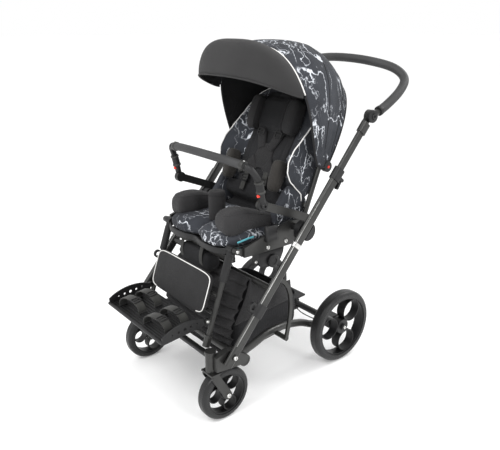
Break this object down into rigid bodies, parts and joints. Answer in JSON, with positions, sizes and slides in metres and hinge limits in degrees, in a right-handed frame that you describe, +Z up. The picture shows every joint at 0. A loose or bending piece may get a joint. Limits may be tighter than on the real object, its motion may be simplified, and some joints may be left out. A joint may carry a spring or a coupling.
{
  "type": "special needs buggy",
  "caption": "Folding pushchair for a disabled child: raked tubular frame on castors and fixed wheels, tilting padded seat, reclining back, folding hood, legrest and footplate.",
  "frame": {"origin": "on the floor under the middle of the object's bounding box", "axes": "+Z up; the rider faces -Y; +X is the rider's left"},
  "size_m": [0.6398, 1.0322, 1.2184],
  "materials": {
    "frame_metal": "satin anthracite",
    "black_plastic": "matt black",
    "black_metal": "satin black",
    "tyre": "dark grey solid tyre",
    "foam": "matt foam",
    "black_fabric": "woven",
    "grey_fabric": "woven",
    "marble_fabric": "printed with pale veins",
    "red_plastic": "glossy"
  },
  "bodies": {
    "base": {"castor_head_left": "frame_metal", "castor_head_right": "frame_metal", "lower_tubes": "frame_metal", "front_cross_bar": "black_metal", "base_cross_tube": "frame_metal", "rear_axle": "black_metal", "brake_cable": "black_plastic", "basket": "black_fabric", "basket_panel": "black_fabric"},
    "brake": {"brake_pedal": "black_plastic"},
    "rear_wheel_left": {"rear_rim_left": "black_plastic", "rear_tyre_left": "tyre"},
    "rear_wheel_right": {"rear_rim_right": "black_plastic", "rear_tyre_right": "tyre"},
    "castor_left": {"fork_left": "frame_metal"},
    "castor_right": {"fork_right": "frame_metal"},
    "front_wheel_left": {"front_rim_left": "black_plastic", "front_tyre_left": "tyre"},
    "front_wheel_right": {"front_rim_right": "black_plastic", "front_tyre_right": "tyre"},
    "main_frame": {"main_tube_left": "frame_metal", "main_tube_right": "frame_metal", "frame_cross_tube": "frame_metal", "seat_adaptors": "black_plastic", "tie_down_brackets": "black_plastic", "height_clamps": "black_plastic"},
    "lever_left": {"clamp_lever_left": "black_plastic"},
    "lever_right": {"clamp_lever_right": "black_plastic"},
    "struts": {"fold_struts": "frame_metal"},
    "stems": {"handle_stem_left": "frame_metal", "handle_stem_right": "frame_metal"},
    "push_handle": {"handle_tube": "frame_metal", "handle_grip": "foam"},
    "seat": {"seat_frame": "frame_metal", "basket_rail": "frame_metal", "seat_cushion": "marble_fabric", "thigh_pad_left": "black_fabric", "thigh_pad_right": "black_fabric", "abductor": "black_fabric", "armrest_left": "frame_metal", "armrest_right": "frame_metal"},
    "grab_bar": {"grab_bar_frame": "frame_metal", "grab_bar_grip": "foam"},
    "grab_release_left": {"grab_button_left": "red_plastic"},
    "grab_release_right": {"grab_button_right": "red_plastic"},
    "back": {"back_frame": "frame_metal", "back_cushion": "marble_fabric", "trunk_pads": "black_fabric", "harness": "black_fabric", "hood_rear": "marble_fabric"},
    "head": {"headrest": "black_fabric"},
    "hood_middle": {"hood_mid": "marble_fabric"},
    "hood_front": {"hood_visor": "grey_fabric"},
    "hood_release_left": {"hood_button_left": "red_plastic"},
    "hood_release_right": {"hood_button_right": "red_plastic"},
    "legrest": {"legrest_sleeves": "black_plastic"},
    "leg_slider": {"legrest_tubes": "frame_metal", "calf_pad": "grey_fabric"},
    "foot": {"footplate": "black_plastic", "foot_straps": "black_fabric"}
  },
  "joints": [
    {"name": "rear_spin_left", "type": "hinge", "parent": "base", "child": "rear_wheel_left", "pos_m": [0.241, 0.25208, 0.145], "axis": [1, 0, 0], "continuous": true},
    {"name": "rear_spin_right", "type": "hinge", "parent": "base", "child": "rear_wheel_right", "pos_m": [-0.241, 0.25208, 0.145], "axis": [1, 0, 0], "continuous": true},
    {"name": "castor_turn_left", "type": "hinge", "parent": "base", "child": "castor_left", "pos_m": [0.253, -0.37592, 0.2], "axis": [0, 0, 1], "continuous": true},
    {"name": "castor_turn_right", "type": "hinge", "parent": "base", "child": "castor_right", "pos_m": [-0.253, -0.37592, 0.2], "axis": [0, 0, 1], "continuous": true},
    {"name": "front_spin_left", "type": "hinge", "parent": "castor_left", "child": "front_wheel_left", "pos_m": [0.253, -0.32592, 0.095], "axis": [1, 0, 0], "continuous": true},
    {"name": "front_spin_right", "type": "hinge", "parent": "castor_right", "child": "front_wheel_right", "pos_m": [-0.253, -0.32592, 0.095], "axis": [1, 0, 0], "continuous": true},
    {"name": "brake_press", "type": "hinge", "parent": "base", "child": "brake", "pos_m": [0, 0.25208, 0.145], "axis": [-1, 0, 0], "range_deg": [0, 20]},
    {"name": "frame_fold", "type": "hinge", "parent": "base", "child": "main_frame", "pos_m": [0, -0.31878, 0.24958], "axis": [1, 0, 0], "range_deg": [-25, 0], "deforming": ["basket_panel"]},
    {"name": "strut_turn", "type": "hinge", "parent": "base", "child": "struts", "pos_m": [0, -0.07392, 0.222], "axis": [1, 0, 0], "range_deg": [-49, 0]},
    {"name": "lever_open_left", "type": "hinge", "parent": "main_frame", "child": "lever_left", "pos_m": [0.3, 0.14953, 0.76257], "axis": [1, 0, 0], "range_deg": [0, 70]},
    {"name": "lever_open_right", "type": "hinge", "parent": "main_frame", "child": "lever_right", "pos_m": [-0.3, 0.14953, 0.76257], "axis": [1, 0, 0], "range_deg": [0, 70]},
    {"name": "handle_height", "type": "slide", "parent": "main_frame", "child": "stems", "axis": [0, 0.6428, 0.766], "range_m": [-0.13, 0]},
    {"name": "handle_angle", "type": "hinge", "parent": "stems", "child": "push_handle", "pos_m": [0, 0.2848, 0.96889], "axis": [1, 0, 0], "range_deg": [-60, 10]},
    {"name": "seat_tilt", "type": "hinge", "parent": "main_frame", "child": "seat", "pos_m": [0, -0.00105, 0.60957], "axis": [-1, 0, 0], "range_deg": [0, 25]},
    {"name": "grab_swing", "type": "hinge", "parent": "seat", "child": "grab_bar", "pos_m": [0, -0.15392, 0.717], "axis": [1, 0, 0], "range_deg": [0, 80]},
    {"name": "grab_press_left", "type": "slide", "parent": "grab_bar", "child": "grab_release_left", "axis": [0, 1, 0], "range_m": [0, 0.003], "stiffness_N_per_m": 400},
    {"name": "grab_press_right", "type": "slide", "parent": "grab_bar", "child": "grab_release_right", "axis": [0, 1, 0], "range_m": [0, 0.003], "stiffness_N_per_m": 400},
    {"name": "back_recline", "type": "hinge", "parent": "seat", "child": "back", "pos_m": [0, 0.06708, 0.605], "axis": [-1, 0, 0], "range_deg": [0, 30]},
    {"name": "headrest_height", "type": "slide", "parent": "back", "child": "head", "axis": [0, 0.3665, 0.9304], "range_m": [0, 0.05]},
    {"name": "hood_fold", "type": "hinge", "parent": "back", "child": "hood_front", "pos_m": [0, 0.16008, 0.795], "axis": [-1, 0, 0], "range_deg": [0, 34]},
    {"name": "hood_follow", "type": "hinge", "parent": "back", "child": "hood_middle", "pos_m": [0, 0.16008, 0.795], "axis": [-1, 0, 0], "range_deg": [0, 17]},
    {"name": "hood_press_left", "type": "slide", "parent": "back", "child": "hood_release_left", "axis": [-1, 0, 0], "range_m": [0, 0.003], "stiffness_N_per_m": 400},
    {"name": "hood_press_right", "type": "slide", "parent": "back", "child": "hood_release_right", "axis": [1, 0, 0], "range_m": [0, 0.003], "stiffness_N_per_m": 400},
    {"name": "legrest_angle", "type": "hinge", "parent": "seat", "child": "legrest", "pos_m": [0, -0.23892, 0.57], "axis": [-1, 0, 0], "range_deg": [0, 45]},
    {"name": "legrest_length", "type": "slide", "parent": "legrest", "child": "leg_slider", "axis": [0, 0.3256, 0.9455], "range_m": [0, 0.04]},
    {"name": "footplate_flip", "type": "hinge", "parent": "leg_slider", "child": "foot", "pos_m": [0, -0.34176, 0.33889], "axis": [-1, 0, 0], "range_deg": [0, 45]}
  ],
  "couplings": [
    {"joint": "strut_turn", "follows": "frame_fold", "ratio": 1.94},
    {"joint": "hood_follow", "follows": "hood_fold", "ratio": 0.5}
  ]
}
